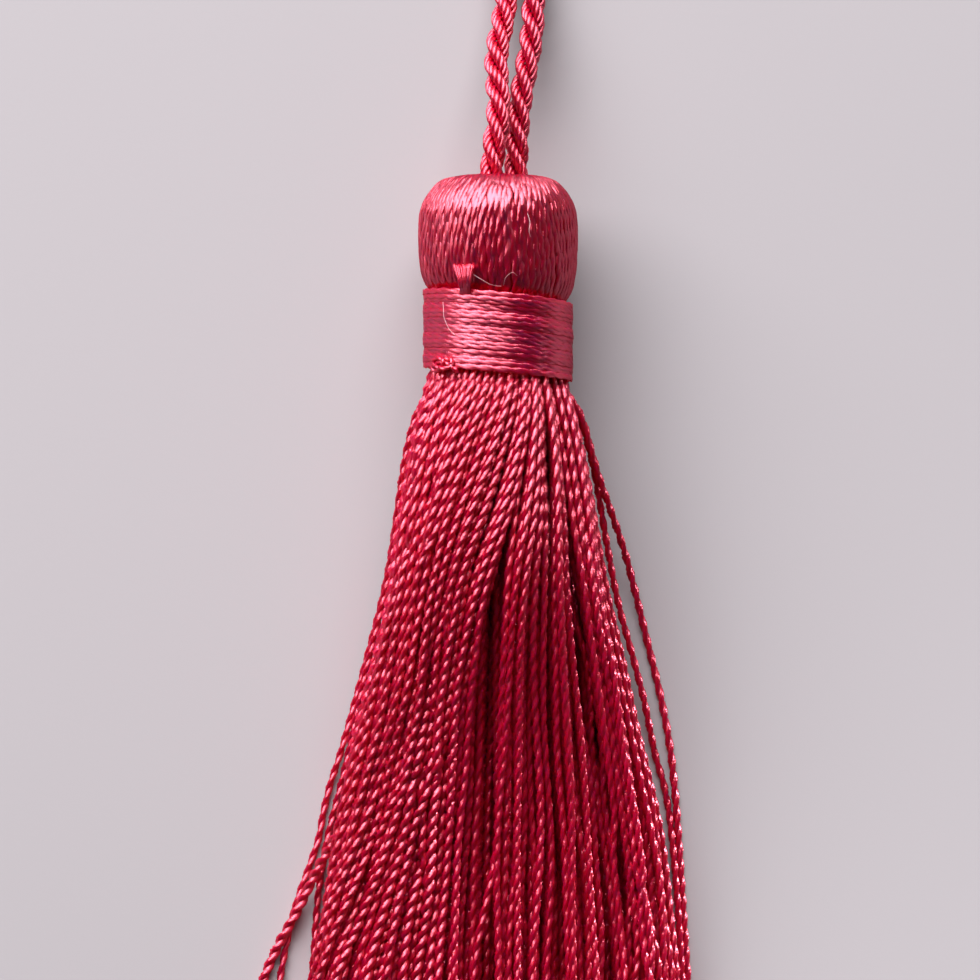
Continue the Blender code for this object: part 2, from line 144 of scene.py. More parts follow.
# How threads settle: the rounds, the share of their thickness that they keep apart in the neck and how much more
# below it, and how far each round pushes them apart, back and straight.
SETTLE_ROUNDS = 60
NECK_PACKING, SKIRT_PACKING = 0.73, 0.145
SETTLE_PUSH, SETTLE_RETURN, SETTLE_STRAIGHTEN = 0.42, 0.05, 0.12

# The least and the most of a thread's pitch and thickness, as shares of the sizes set.
PITCH_SPREAD, THICKNESS_SPREAD = (0.92, 1.08), (0.94, 1.06)
# The least and the most that threads swell which are on the upper left at a distance below the binding, and where
# this starts and over how much it grows to the left, up and below.
SWELLING, SWOLLEN_AT = (0.16, 0.42), 41.0
SWELL_LEFT, SWELL_UP, SWELL_BELOW = (1, 5), (3, 2), (10, 20)

# Single threads that stand off the skirt: thickness as a share of the others', and points below the binding,
# across and above the table. FLOOR is the height of a thread that lies on it.
FLOOR = 0.27
STRAY_THREADS = {
    "right_outer": (1, (
        (-1.8, 3, 4.6), (0.5, 4.2, 4.8), (1.6, 5.2, 4.8), (3.2, 6, 4.6), (6.5, 6.95, 3.9),
        (10.2, 8.3, 2.4), (13, 9.25, 1.2), (18.6, 10.7, FLOOR), (24.2, 12, FLOOR), (29.8, 12.75, FLOOR),
        (42.4, 13.6, FLOOR), (62, 14.9, FLOOR),
    )),
    "right_inner": (0.95, (
        (-1.8, 3.2, 4), (0.5, 4.2, 4.2), (1.6, 5.2, 4.1), (3.2, 5.9, 3.9), (6.5, 6.8, 3.2),
        (12, 7.8, 2.2), (16, 8.6, 1.6), (20, 9.7, 1.2), (23.5, 10.6, 0.8), (26.5, 11.2, FLOOR),
        (28.5, 11.8, FLOOR), (31, 12.3, FLOOR), (35, 12.7, 0.5), (42.4, 13.2, 0.5), (63, 14.1, FLOOR),
    )),
    "left_thin": (0.92, (
        (-1.8, -3, 3.6), (0.5, -4.1, 3.7), (1.6, -5.2, 3.5), (3.2, -5.9, 3.2), (6.5, -6.7, 2.4),
        (14, -7.9, 1.5), (20, -9.4, 0.9), (26.8, -11.3, 0.5), (29.9, -12.3, FLOOR), (33.2, -12.95, FLOOR),
        (36.3, -14.05, FLOOR), (38.6, -14.75, FLOOR), (42.1, -15.5, FLOOR), (50, -16.7, FLOOR),
        (61, -17.8, FLOOR),
    )),
    "left_thick": (1.32, (
        (-1.8, -2.6, 7.2), (0.5, -3.7, 7.5), (1.6, -4.6, 7.9), (4, -5.4, 8), (8, -5.6, 8.4),
        (14, -5.9, 8), (20, -6.8, 6.9), (25.4, -8.4, 5.6), (28.8, -9.9, 4.4), (31.2, -11, 3.3),
        (33.4, -12, 2.3), (35.4, -13.1, 1.4), (37.3, -14, 0.9), (39, -14.9, 0.8), (40.7, -15.8, 0.5),
        (42.1, -16.5, 0.4), (46.6, -18, 0.4), (50, -19.2, 0.4), (58, -21, 0.4),
    )),
    "left_low": (0.95, (
        (-1.8, -3.2, 4.4), (0.5, -4.2, 4.6), (1.6, -5.2, 4.4), (3.2, -5.95, 4.2), (6.5, -6.7, 3.6),
        (14, -7.8, 2.3), (22, -9.7, 1.2), (28, -11, 0.5), (33.2, -12.3, FLOOR), (37.3, -12.95, FLOOR),
        (42, -13.3, FLOOR), (52, -14.3, FLOOR), (63, -15.4, FLOOR),
    )),
}  # fmt: skip

# Where the binding's cut end passes: across, along and clear of the head and the binding, how far its yarns fan to
# either side, and how much clearer each of three layers is. They are cut a little unevenly. They have hardly any
# twist, and their filaments lean by an angle.
TUFT_STATIONS = (
    (-2.26, -3.8, -0.5, 0.3, 0), (-2.26, -3.1, 0.35, 0.34, 0), (-2.31, -2.5, 0.6, 0.45, 0.12),
    (-2.38, -1.5, 0.2, 0.7, 0.14),
)  # fmt: skip
TUFT_UNEVENNESS = 0.05
TUFT_PITCH, TUFT_FILAMENT_ANGLE = 1e6, math.radians(26.0)
TUFT_RINGS, KNOT_STEP = 14, 0.06

# The knot at the binding's other end, through points across, along and clear of the binding.
KNOT_ROUTE = (
    (-2.75, -8.75, -0.1), (-3.05, -8.5, 0.16), (-3.45, -8.15, 0.22), (-3.9, -8.02, 0.22), (-4.35, -8.15, 0.2),
    (-4.55, -8.4, 0.16), (-4.3, -8.58, 0.14), (-3.95, -8.45, 0.3), (-3.75, -8.1, 0.52), (-3.95, -7.78, 0.5),
    (-4.25, -7.72, 0.34), (-4.45, -7.95, 0.16), (-4.25, -8.3, 0.48), (-3.8, -8.48, 0.55), (-3.4, -8.42, 0.34),
    (-3.15, -8.12, 0.18), (-3.25, -7.86, 0.12), (-3.55, -7.8, 0.08),
)

# Loose fibres, by the same measures: points across, along and clear of the head and the binding.
FIBRES = (
    (
        (-3.78, -3.92, 0.1), (-3.74, -4.5, 0.35), (-3.71, -4.97, 0.4), (-3.5, -5.5, 0.36),
        (-3.29, -5.88, 0.28), (-2.94, -6.23, 0.08),
    ),
    ((-1.68, -2.17, 0.45), (-1.15, -2.5, 0.6), (-0.63, -2.8, 0.62), (-0.2, -2.92, 0.5), (0.21, -2.94, 0.35)),
    ((0.35, -2.9, 0.2), (0.5, -2.4, 0.5), (0.95, -2.05, 0.6), (1.3, -2.25, 0.35)),
    ((2, 2, 0.1), (2.15, 1.4, 0.3), (2.1, 0.8, 0.3), (2.2, 0.4, 0.1)),
)  # fmt: skip
FIBRE_RINGS = 24

# The hanging cord's route, out of the crown, round the loop and back, as in its solid.
CORD_EXIT = (-0.4, 5.47, 6.15)
CORD_ROUTE = (
    CORD_EXIT, (-0.3, 6.9, 6.15), (-0.05, 8.6, 5.95), (0.04, 10.4, 5.45), (-0.07, 12.1, 4.75),
    (-0.1, 13.9, 3.95), (0.2, 15.75, 3.15), (0.5, 17.5, 2.4), (0.55, 20.5, 1.35), (0.1, 24.5, 0.92),
    (-0.95, 30, 0.9), (-2.2, 36.5, 0.9), (-3.05, 42.5, 0.9), (-2.7, 47.5, 0.9), (-0.7, 51.2, 0.9),
    (2, 52.1, 0.9), (4.6, 50.8, 0.9), (6.1, 46.9, 0.9), (6.15, 41.5, 0.9), (5.3, 35.5, 0.9),
    (4.2, 29.5, 0.9), (3.25, 24.5, 0.92), (2.7, 20.5, 1.25), (2.52, 17.5, 2), (2.42, 15.75, 2.55),
    (2.16, 13.9, 3.05), (1.82, 12.1, 3.5), (1.55, 10.4, 3.95), (1.38, 8.6, 4.35), (1.3, 6.9, 4.6),
    (1.3, 5.47, 4.65),
)  # fmt: skip

# Where both ends of the cord go on inside the head, the distance between its rings, and its plies, whose yarns are
# a little fuller, so that they press into each other.
CORD_TUCKS = ((-0.55, 4.3, 5.9), (1.2, 4.3, 4.9))
CORD_STEP = 0.17
PLIES, YARN_FULLNESS = 3, 1.08

# Outlines of a thread's section, from the groove between its plies, as shares of its radius.
TWO_PLY_FINE = (0.56, 0.85, 1.0, 0.85) * 2
TWO_PLY_PLAIN = (0.60, 0.88, 0.88) * 2
PRESSED_TWO_PLY = (0.55, 0.80, 0.98, 0.98, 0.80) * 2
ROUND_YARN = (1.0,) * 5
ROUND_HAIR = (1.0,) * 3

# How near a thread covers another, in thicknesses, and the least shares of a thread's stations that are bare, for
# a fine one, and covered by two others at most or lower than a height, for a medium one.
COVER_REACH = 0.55
BARE_SHARE, HALF_SEEN_SHARE, LOW_SHARE, LOW_HEIGHT = 0.03, 0.2, 0.4, 1.2

# The skirt's kinds of thread: rings in one turn of the plies, section, fullness, and how much lighter the dye is
# made as painted light. Those under others are fuller, so that they fill the gaps that show, and lighter, so that
# painted light brightens the shade in the gaps.
SKIRT_KINDS = {
    "fine": (8, TWO_PLY_FINE, 1.08, 0.0),
    "medium": (6, TWO_PLY_PLAIN, 1.25, 0.4),
    "plain": (3, TWO_PLY_PLAIN, 1.9, 0.4),
}

# Each light's name, place, aim, width and height in metres, the width of its beam in degrees, and its share of
# the power. The strip has a grid in front, which keeps its light to the skirt's lower right.
LIGHTS = (
    ("window", (-0.3, 0.7, 0.52), (0, -0.017, 0.005), (1.7, 0.9), 180, 1),
    ("gridded_strip", (0.572, 0.16, 0.1), (0, -0.098, 0.005), (0.1, 0.06), 8, 0.0007),
)
VIEW_MIDDLE = (-0.00056, -0.0168)
SENSOR_WIDTH = 36.0


def linear(hex_colour):
    """An sRGB hex colour as linear RGBA."""
    values = [int(hex_colour[i : i + 2], 16) / 255 for i in (1, 3, 5)]
    return tuple(v / 12.92 if v <= 0.04045 else ((v + 0.055) / 1.055) ** 2.4 for v in values) + (1.0,)


# Thread shapes, as arrays of points


def smooth_share(value, start=0.0, width=1.0):
    """How far value is from start through width, from 0 to 1 and held there, with a slow start and end."""
    share = np.clip((value - start) / width, 0.0, 1.0)
    return share * share * (3 - 2 * share)


def waves(places, table):
    """The sum at places of waves: their size, radians from place to place, and start."""
    return sum(size * np.sin(places * rate + start) for size, rate, start in table)


def on_curve(points, places):
    """Points of a smooth curve through points (..., count, 3), at places that count along them."""
    before = 2 * points[..., :1, :] - points[..., 1:2, :]
    after = 2 * points[..., -1:, :] - points[..., -2:-1, :]
    padded = np.concatenate([before, points, after], axis=-2)
    start = np.clip(places.astype(int), 0, points.shape[-2] - 2)
    t = (places - start)[:, None]
    a, b, c, d = (padded[..., start + k, :] for k in range(4))
    return 0.5 * (2 * b + (c - a) * t + (2 * a - 5 * b + 4 * c - d) * t**2 + (3 * b - a - 3 * c + d) * t**3)


def through(points, count):
    """So many points of a smooth curve through points, from end to end."""
    return on_curve(np.asarray(points, float), np.linspace(0, len(points) - 1, count))


def evenly(points, step):
    """Points about step apart along a smooth curve through points."""
    dense = through(points, 40 * len(points))
    lengths = np.concatenate([[0], np.cumsum(np.linalg.norm(np.diff(dense, axis=0), axis=1))])
    targets = np.linspace(0, lengths[-1], max(2, round(lengths[-1] / step) + 1))
    return np.stack([np.interp(targets, lengths, dense[:, k]) for k in range(3)], axis=1)


def along(paths):
    """Unit directions and distances along paths (threads, rings, 3)."""
    direction = np.gradient(paths, axis=1)
    direction /= np.linalg.norm(direction, axis=2, keepdims=True)
    steps = np.linalg.norm(np.diff(paths, axis=1), axis=2)
    return direction, np.concatenate([np.zeros((len(paths), 1)), np.cumsum(steps, axis=1)], axis=1)


def square_to(direction, reference):
    """Unit vectors square to direction, the first on reference's side."""
    normal = reference - direction * np.sum(direction * reference, axis=-1, keepdims=True)
    normal /= np.linalg.norm(normal, axis=-1, keepdims=True)
    return normal, np.cross(direction, normal)


def carried_normals(path):
    """Normals along one path (rings, 3) that turn no more than it does."""
    normals = np.empty_like(path)
    current = np.array([0.0, 0.0, 1.0])
    for i, heading in enumerate(along(path[None])[0][0]):
        current = current - heading * np.dot(current, heading)
        current /= np.linalg.norm(current)
        normals[i] = current
    return normals


def twist(paths, pitch, phase):
    """The angle at each ring of the section of threads with a Z twist."""
    return phase + TAU * along(paths)[1] / pitch


def upwards(paths):
    """A direction straight up at each point of paths."""
    up = np.zeros_like(paths)
    up[..., 2] = 1
    return up


def uneven(paths, spread, chance):
    """Numbers about 1 that change smoothly along each thread, every millimetre or so."""
    lengths = along(paths)[1]
    values = chance.normal(1, spread, (len(paths), int(lengths.max()) + 3))
    start = lengths.astype(int)
    onward = smooth_share(lengths - start)
    before, after = (np.take_along_axis(values, start + k, 1) for k in range(2))
    return (1 - onward) * before + onward * after


def thread_mesh(
    name, paths, radius, section, tints, material, references=None, turns=0.0, offsets=0.0, leans=1.0, flatness=1.0
):
    """One object of many threads: section swept along paths (threads, rings, 3) in millimetres, with closed ends.

    At each ring the section is turned by turns from references, or from straight up. Each thread has one of tints.
    The UV map is shifted along the thread by offsets, round the section, times leans, at each ring, so that its
    tangent is square to the filaments. flatness is the height of a pressed thread as a share of its width."""
    threads, rings = paths.shape[:2]
    sides = len(section)
    references = upwards(paths) if references is None else references
    radius, turns, leans = (np.broadcast_to(values, (threads, rings)) for values in (radius, turns, leans))
    offsets = np.broadcast_to(offsets, sides + 1)
    tints = np.broadcast_to(np.asarray(tints, np.float32), threads)
    direction, lengths = along(paths)
    normal, side = (axis[:, :, None] for axis in square_to(direction, references))
    angle = turns[:, :, None] + TAU / 4 + TAU * np.arange(sides) / sides
    reach = radius[:, :, None] * np.asarray(section)
    spots = paths[:, :, None] + (flatness * reach * np.cos(angle))[..., None] * normal
    spots += (reach * np.sin(angle))[..., None] * side
    # The four corners of each face between two rings, as their ring and their place round it.
    ring = np.arange(rings - 1)[:, None] + np.array([0, 0, 1, 1])
    place_round = np.arange(sides)[:, None] + np.array([0, 1, 1, 0])
    quads = (ring[:, None] * sides + place_round % sides).reshape(-1)
    firsts = np.arange(threads)[:, None] * (rings * sides)
    caps = np.arange(sides)[::-1], np.arange(sides) + (rings - 1) * sides
    loops = np.concatenate([(corners + firsts).reshape(-1) for corners in (quads, *caps)]).astype(np.int32)
    quad_count = threads * (rings - 1) * sides
    starts = np.concatenate([np.arange(quad_count) * 4, quad_count * 4 + np.arange(2 * threads) * sides])

    mesh = bpy.data.meshes.new(name)
    mesh.vertices.add(threads * rings * sides)
    mesh.vertices.foreach_set("co", (spots * MM).astype(np.float32).reshape(-1))
    mesh.loops.add(len(loops))
    mesh.loops.foreach_set("vertex_index", loops)
    mesh.polygons.add(len(starts))
    mesh.polygons.foreach_set("loop_start", starts.astype(np.int32))
    mesh.polygons.foreach_set("use_smooth", np.arange(len(starts)) < quad_count)
    mesh.update(calc_edges=True)
    if section[0] < section[1]:
        # The plies meet in a crease, half way round from each other.
        ends = np.empty(len(mesh.edges) * 2, np.int32)
        mesh.edges.foreach_get("vertices", ends)
        creased = (ends.reshape(-1, 2) % sides % (sides // 2) == 0).all(axis=1)
        mesh.attributes.new("sharp_edge", "BOOLEAN", "EDGE").data.foreach_set("value", creased)

    onward = lengths[:, ring][:, :, None] - leans[:, ring][:, :, None] * offsets[place_round]
    uv = np.zeros((len(loops), 2), np.float32)
    uv[: quad_count * 4, 0] = np.broadcast_to(place_round / sides, onward.shape).reshape(-1)
    uv[: quad_count * 4, 1] = onward.reshape(-1)
    mesh.uv_layers.new(name="UVMap").uv.foreach_set("vector", uv.reshape(-1))
    mesh.attributes.new("tint", "FLOAT", "POINT").data.foreach_set("value", np.repeat(tints, rings * sides))
    mesh.validate()
    mesh.materials.append(material)
    obj = bpy.data.objects.new(name, mesh)
    bpy.context.scene.collection.objects.link(obj)
    return obj


def filament_offsets(radius, pitch, section, angle):
    """How far along the thread, in millimetres, a line square to the filaments runs from the groove to each point
    of the section. The filaments lean from the thread by an angle, the way its plies do but less."""
    reach = radius * np.append(section, section[0])
    helix = TAU * reach / pitch
    lean = math.tan(angle) * reach / radius
    rise = -TAU * reach * lean / (1 + helix * lean)
    steps = (rise[1:] + rise[:-1]) / 2 / len(section)
    return np.concatenate([[0.0], np.cumsum(steps)])


def place(piece, slot, *nodes):
    """Rides a piece on the tassel, and hides the solids that it stands for. slot is not used."""
    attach(piece, "root")
    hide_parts(*nodes)


# Materials


def add_node(tree, kind, links=None, inputs=None, **settings):
    """A node with its settings, its inputs' values, and links from other nodes' outputs into its inputs."""
    node = tree.nodes.new(kind)
    for key, value in settings.items():
        setattr(node, key, value)
    for key, value in (inputs or {}).items():
        node.inputs[key].default_value = value
    for key, output in (links or {}).items():
        tree.links.new(output, node.inputs[key])
    return node


def new_material(name):
    """A material with nodes, its node tree and its shader."""
    material = bpy.data.materials.new(name)
    material.use_nodes = True
    return material, material.node_tree, material.node_tree.nodes["Principled BSDF"]


def filament_silk(name, look):
    """Reeled silk, dyed and thrown: long smooth filaments lie side by side, so their sheen is bright across them
    and almost none along them, and takes its tint from the dye. Between the highlights the silk is deep in colour,
    a little different from thread to thread; each thread's tint also carries painted light and shade, lighter on
    skirt threads under others and deeper on the head."""
    material, tree, shader = new_material(name)
    uv = add_node(tree, "ShaderNodeUVMap", uv_map="UVMap")
    # The UV map runs once round a thread and in millimetres along it. A bundle of filaments is about 0.045 mm
    # across, so 40 go round a thread, and keeps its place for about 0.7 mm.
    stretch = add_node(tree, "ShaderNodeMapping", {"Vector": uv.outputs["UV"]}, {"Scale": (40.0, 1.4, 1.0)})
    vector = stretch.outputs["Vector"]
    filaments = add_node(tree, "ShaderNodeTexNoise", {"Vector": vector}, {"Scale": 1.0, "Detail": 2.0})
    filaments = filaments.outputs["Fac"]
    tint = add_node(tree, "ShaderNodeAttribute", attribute_name="tint").outputs["Fac"]
    summed = add_node(tree, "ShaderNodeMath", {0: filaments, 1: tint}, operation="ADD").outputs[0]
    lightness = add_node(tree, "ShaderNodeMath", {0: summed}, {1: 0.5}, operation="SUBTRACT", use_clamp=True)
    dyes = {6: (*look.deep, 1.0), 7: (*look.bright, 1.0)}
    dye = add_node(tree, "ShaderNodeMix", {"Factor": lightness.outputs[0]}, dyes, data_type="RGBA")
    relief = {"Strength": look.filament_relief, "Distance": 0.012 * MM}
    bump = add_node(tree, "ShaderNodeBump", {"Height": filaments}, relief)
    tangent = add_node(tree, "ShaderNodeTangent", direction_type="UV_MAP", uv_map="UVMap")
    tree.links.new(dye.outputs[2], shader.inputs["Base Color"])
    tree.links.new(bump.outputs["Normal"], shader.inputs["Normal"])
    tree.links.new(tangent.outputs["Tangent"], shader.inputs["Tangent"])
    shader.inputs["Roughness"].default_value = look.roughness
    shader.inputs["Anisotropic"].default_value = look.anisotropy
    shader.inputs["IOR"].default_value = look.ior
    shader.inputs["Specular IOR Level"].default_value = look.gloss
    shader.inputs["Specular Tint"].default_value = (*look.sheen, 1.0)
    # Red light soaks about 0.7 mm through the threads, and fills the furrows between them.
    shader.inputs["Subsurface Weight"].default_value = look.soaking
    shader.inputs["Subsurface Radius"].default_value = (1.0, 0.05, 0.12)
    shader.inputs["Subsurface Scale"].default_value = 0.7 * MM
    return material


def single_filament(name, dye):
    """Silk filament: clear and smooth, so that little dye shows in it, and a little paler here and there."""
    material, tree, shader = new_material(name)
    spot = add_node(tree, "ShaderNodeTexCoord").outputs["Object"]
    # Sericin left on the filament changes its tone every 0.5 mm or so.
    tone = add_node(tree, "ShaderNodeTexNoise", {"Vector": spot}, {"Scale": 2000.0, "Detail": 1.0})
    dyes = {6: (*dye, 1.0), 7: (*(0.5 + 0.5 * v for v in dye), 1.0)}
    mixed = add_node(tree, "ShaderNodeMix", {"Factor": tone.outputs["Fac"]}, dyes, data_type="RGBA")
    tree.links.new(mixed.outputs[2], shader.inputs["Base Color"])
    shader.inputs["Roughness"].default_value = 0.35
    shader.inputs["IOR"].default_value = 1.58
    return material


def matt_board(name, tone):
    """Uncoated mount board: even, pale and without gloss."""
    material, tree, shader = new_material(name)
    spot = add_node(tree, "ShaderNodeTexCoord").outputs["Object"]
    # Paper grain is about 0.1 mm; it is drawn at 0.4 mm so that it shows.
    grain = add_node(tree, "ShaderNodeTexNoise", {"Vector": spot}, {"Scale": 2500.0, "Detail": 1.0}).outputs["Fac"]
    relief = add_node(tree, "ShaderNodeBump", {"Height": grain}, {"Strength": 0.1, "Distance": 0.02 * MM})
    tree.links.new(relief.outputs["Normal"], shader.inputs["Normal"])
    shader.inputs["Base Color"].default_value = (*tone, 1.0)
    shader.inputs["Roughness"].default_value = 0.9
    shader.inputs["Specular IOR Level"].default_value = 0.2
    return material


# Skirt


def outline(distance, inset, angle):
    """Points (x, z) of the skirt's inset outline at a distance below the binding and at angles from its top, and
    the height of its middle."""
    below, *columns = np.array(SKIRT_SECTIONS).T
    half_width, top, under, level = (np.interp(distance, below, column) for column in columns)
    half_width, top, under = half_width - inset, top - inset, under + inset
    middle, half_height = (top + under) / 2, (top - under) / 2
    across, up = np.sin(angle), np.cos(angle)
    lower = up < 0
    up = np.where(lower, -(np.abs(up) ** (1 - UNDERSIDE_FLAT * level)), up)
    across = np.where(lower, np.sign(across) * np.abs(across) ** (1 - UNDERSIDE_WIDE * level), across)
    return np.stack([half_width * across, middle + half_height * up], axis=-1), middle


def drawn(angle, depth, distance):
    """The threads' angles at a distance below the binding, where the flow draws those near the surface."""
    flow = np.array(FLOW)
    here = [np.interp(distance, flow[0], row) for row in flow[1:]]
    flowing = np.radians(np.interp(np.degrees(angle), flow[1:, 0], here))
    upper = smooth_share((FLOW_SIDE - np.abs(angle)) / FLOW_FADE)
    near = smooth_share(depth, FLOW_DEPTH[0], FLOW_DEPTH[1] - FLOW_DEPTH[0]) * upper
    return angle + near * (flowing - angle)


def furrowed(spots, middle, distance):
    """Spots (x, z) with those in the upper half pushed aside and down at the furrows."""
    for half_width, depth, line in FURROWS:
        line = np.array(line)
        across = np.interp(distance, line[:, 0], line[:, 1])
        ends = smooth_share(distance, line[0, 0], FURROW_FADE)
        ends *= smooth_share((line[-1, 0] - distance) / FURROW_FADE)
        offset = (spots[:, 0] - across) / half_width
        near = ends * np.exp(-(offset**2)) * smooth_share((spots[:, 1] - middle) / 1.5)
        spots[:, 1] -= depth * near
        spots[:, 0] += np.sign(offset) * half_width * 0.9 * near
    return spots


def on_disc(depth, angle):
    """Points (across, up) at depths and angles from the top of a disc."""
    return np.stack([depth * np.sin(angle), depth * np.cos(angle)], axis=1)


def sway(numbers, phase, waves):
    """The sum at a phase of waves like those of THREAD_SWAY."""
    return sum(
        size * numbers[:, scale] * np.sin(phase * turns + shift * numbers[:, start])
        for size, scale, turns, start, shift in waves
    )


def skirt_stations(thread, skirt, chance):
    """Where each skirt thread passes planes down the skirt, as (threads, stations, 3), before they settle."""
    count = skirt.threads
    below = np.concatenate([[-2.4, -0.6, 0.3, 1.2, 2.2, 3.4], np.arange(5.0, skirt.length / MM + 1.9, 2.0)])
    index = np.arange(count)
    depth = ((index + 0.5) / count) ** skirt.hollowness
    angle = (index * TAU * GOLDEN_SHARE + 0.4 + math.pi) % TAU - math.pi
    lock_angle = chance.uniform(-math.pi, math.pi, skirt.locks)
    lock_middles = on_disc(np.sqrt(chance.uniform(0, 1, skirt.locks)), lock_angle)
    lock = np.argmin(np.linalg.norm(on_disc(depth, angle)[:, None] - lock_middles[None], axis=2), axis=1)
    own = chance.normal(0, 1, (count, 4))
    shared = chance.normal(0, 1, (skirt.locks, 4))
    astray = chance.uniform(0, 1, count) < skirt.astray
    paths = np.empty((count, len(below), 3))
    for k, distance in enumerate(below):
        loose = smooth_share(distance / LOOSE_BELOW)
        phase = distance * MM / skirt.length * TAU
        wander = sway(own, phase, THREAD_SWAY) * np.where(astray, ASTRAY_SWAY, 1.0)
        wander = wander + sway(shared, phase, LOCK_SWAY)[lock]
        turned = drawn(angle, depth, distance) + loose * skirt.wander * wander
        # Threads also rise and sink a little between the middle and the surface.
        rise = 0.05 * own[:, 3] + 0.03 * sway(own, phase, THREAD_RISE)
        reach = np.clip(depth + loose * rise + np.where(astray, 0.05 * loose, 0.0), 0, 1.04)
        edge, middle = outline(distance, thread.diameter / MM / 2, turned)
        spots = np.array([0.0, middle]) + reach[:, None] * (edge - np.array([0.0, middle]))
        centres = np.zeros((skirt.locks, 2))
        for j in np.unique(lock):
            centres[j] = spots[lock == j].mean(axis=0)
        gathered = skirt.gathering * loose * (centres[lock] - spots)
        spots = furrowed(spots + gathered * np.where(astray, 0.0, 1.0)[:, None], middle, distance)
        paths[:, k] = np.insert(spots, 1, BINDING_BOTTOM_Y - distance, axis=1)
    return paths


def settled(paths, apart_by):
    """Threads pushed apart where they would pass through each other, kept smooth and above the table."""
    below = BINDING_BOTTOM_Y - paths[0, :, 1]
    packing = NECK_PACKING + SKIRT_PACKING * smooth_share(below / 3.0)
    spots = paths[:, :, (0, 2)].transpose(1, 0, 2).astype(np.float32)
    homes = spots.copy()
    apart_by = apart_by.T.astype(np.float32)
    apart = (packing[:, None, None] * (apart_by[:, :, None] + apart_by[:, None]) / 2).astype(np.float32)
    own = np.eye(spots.shape[1], dtype=bool)
    for _ in range(SETTLE_ROUNDS):
        gap = spots[:, :, None, :] - spots[:, None, :, :]
        distance = np.sqrt((gap**2).sum(axis=3)) + 1e-6
        push = np.clip(apart - distance, 0, None)
        push[:, own] = 0
        push = (gap / distance[..., None] * push[..., None]).sum(axis=2)
        spots = spots + push * SETTLE_PUSH + SETTLE_RETURN * (homes - spots)
        spots[1:-1] += SETTLE_STRAIGHTEN * ((spots[:-2] + spots[2:]) / 2 - spots[1:-1])
        spots[..., 1] = np.maximum(spots[..., 1], apart_by / 2)
    result = paths.copy()
    result[:, :, (0, 2)] = spots.transpose(1, 0, 2)
    return result


def covering(paths, reach):
    """How many threads lie over each thread at each station, as (threads, stations)."""
    x, z = paths[:, :, 0].T, paths[:, :, 2].T
    near = np.abs(x[:, :, None] - x[:, None, :]) < reach
    return (near & (z[:, None, :] > z[:, :, None] + 0.05)).sum(axis=2).T


def stray_paths(stations):
    """The stray threads at the stations' distances below the binding."""
    paths = np.empty((len(STRAY_THREADS), len(stations), 3))
    for i, (_, points) in enumerate(STRAY_THREADS.values()):
        line = evenly(points, 0.1)
        distance = np.minimum(BINDING_BOTTOM_Y - stations, line[-1, 0])
        paths[i, :, 1] = BINDING_BOTTOM_Y - distance
        paths[i, :, 0] = np.interp(distance, line[:, 0], line[:, 1])
        paths[i, :, 2] = np.interp(distance, line[:, 0], line[:, 2])
    return paths


def swollen(paths, below, chance):
    """How thick each thread is at each station: about 1, and more where the upper left swells."""
    upper_left = paths[:, np.argmin(np.abs(below - SWOLLEN_AT))]
    swell = smooth_share(-upper_left[:, 0], *SWELL_LEFT) * smooth_share(upper_left[:, 2], *SWELL_UP)
    swell = swell[:, None] * smooth_share(below, *SWELL_BELOW) * chance.uniform(*SWELLING, (len(paths), 1))
    return chance.uniform(*THICKNESS_SPREAD, (len(paths), 1)) + swell


def kinds_of(paths, diameter):
    """Which of SKIRT_KINDS each thread is, by how much of it shows on top, just under it or at the sides."""
    covered = covering(paths, COVER_REACH * diameter)[:, 3:]
    bare = (covered == 0).mean(axis=1) > BARE_SHARE
    half_seen = (covered <= 2).mean(axis=1) > HALF_SEEN_SHARE
    half_seen |= (paths[:, 4:, 2] < LOW_HEIGHT).mean(axis=1) > LOW_SHARE
    return np.where(bare, "fine", np.where(half_seen, "medium", "plain"))


